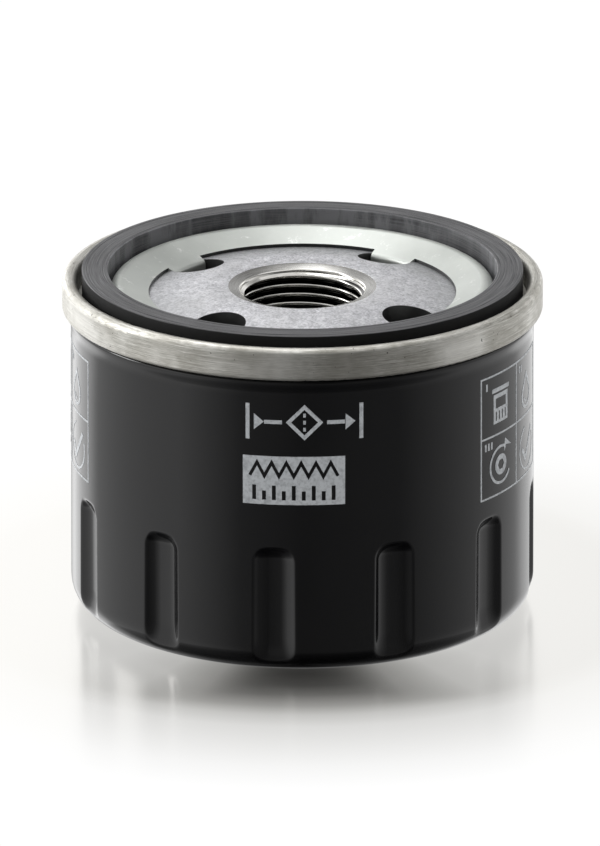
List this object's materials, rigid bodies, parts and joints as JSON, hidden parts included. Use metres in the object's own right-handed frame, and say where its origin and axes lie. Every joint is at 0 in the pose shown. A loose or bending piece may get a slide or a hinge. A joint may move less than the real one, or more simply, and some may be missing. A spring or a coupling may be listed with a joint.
{
  "type": "spin-on oil filter",
  "caption": "Round black can with wrench flutes near its closed end, seamed threaded end plate with oil inlets, and a rubber sealing ring.",
  "frame": {"origin": "centre of the closed end's rest face", "axes": "+Z along the filter's axis, towards the threaded end"},
  "size_m": [0.076, 0.076, 0.0552],
  "materials": {
    "black_paint": "gloss",
    "tinned_steel": "satin",
    "plate_steel": "zinc plated, satin",
    "nitrile_rubber": "matte",
    "valve_rubber": "matte",
    "filter_paper": "resin-treated paper, matte",
    "cap_steel": "satin",
    "spring_steel": "drawn wire, satin",
    "adhesive": "satin",
    "sealing_compound": "matte",
    "ink": "screen-printed, matte"
  },
  "bodies": {
    "canister": {"housing_can": "black_paint", "seaming_lid": "tinned_steel", "sealing_gasket": "nitrile_rubber", "seam_compound": "sealing_compound", "threaded_plate": "plate_steel", "antidrain_membrane": "valve_rubber", "upper_end_cap": "cap_steel", "lower_end_cap": "cap_steel", "pleated_media": "filter_paper", "pleat_seam_clip": "cap_steel", "upper_adhesive": "adhesive", "lower_adhesive": "adhesive", "centre_tube": "cap_steel", "bypass_seat": "valve_rubber", "bypass_cage": "cap_steel", "bypass_spring": "spring_steel", "support_spring": "spring_steel"},
    "bypass_poppet": {"bypass_disc": "cap_steel", "bypass_stem": "spring_steel"},
    "drain_lip": {"antidrain_lip": "valve_rubber"}
  },
  "joints": [
    {"name": "bypass_valve_lift", "type": "slide", "parent": "canister", "child": "bypass_poppet", "axis": [0, 0, 1], "range_m": [0, 0.003], "stiffness_N_per_m": 400, "springref_m": -0.001, "deforming": ["bypass_spring"]},
    {"name": "antidrain_lip_lift", "type": "slide", "parent": "canister", "child": "drain_lip", "axis": [0, 0, -1], "range_m": [0, 0.0012], "stiffness_N_per_m": 100, "springref_m": -0.001, "deforming": ["antidrain_membrane"]}
  ]
}
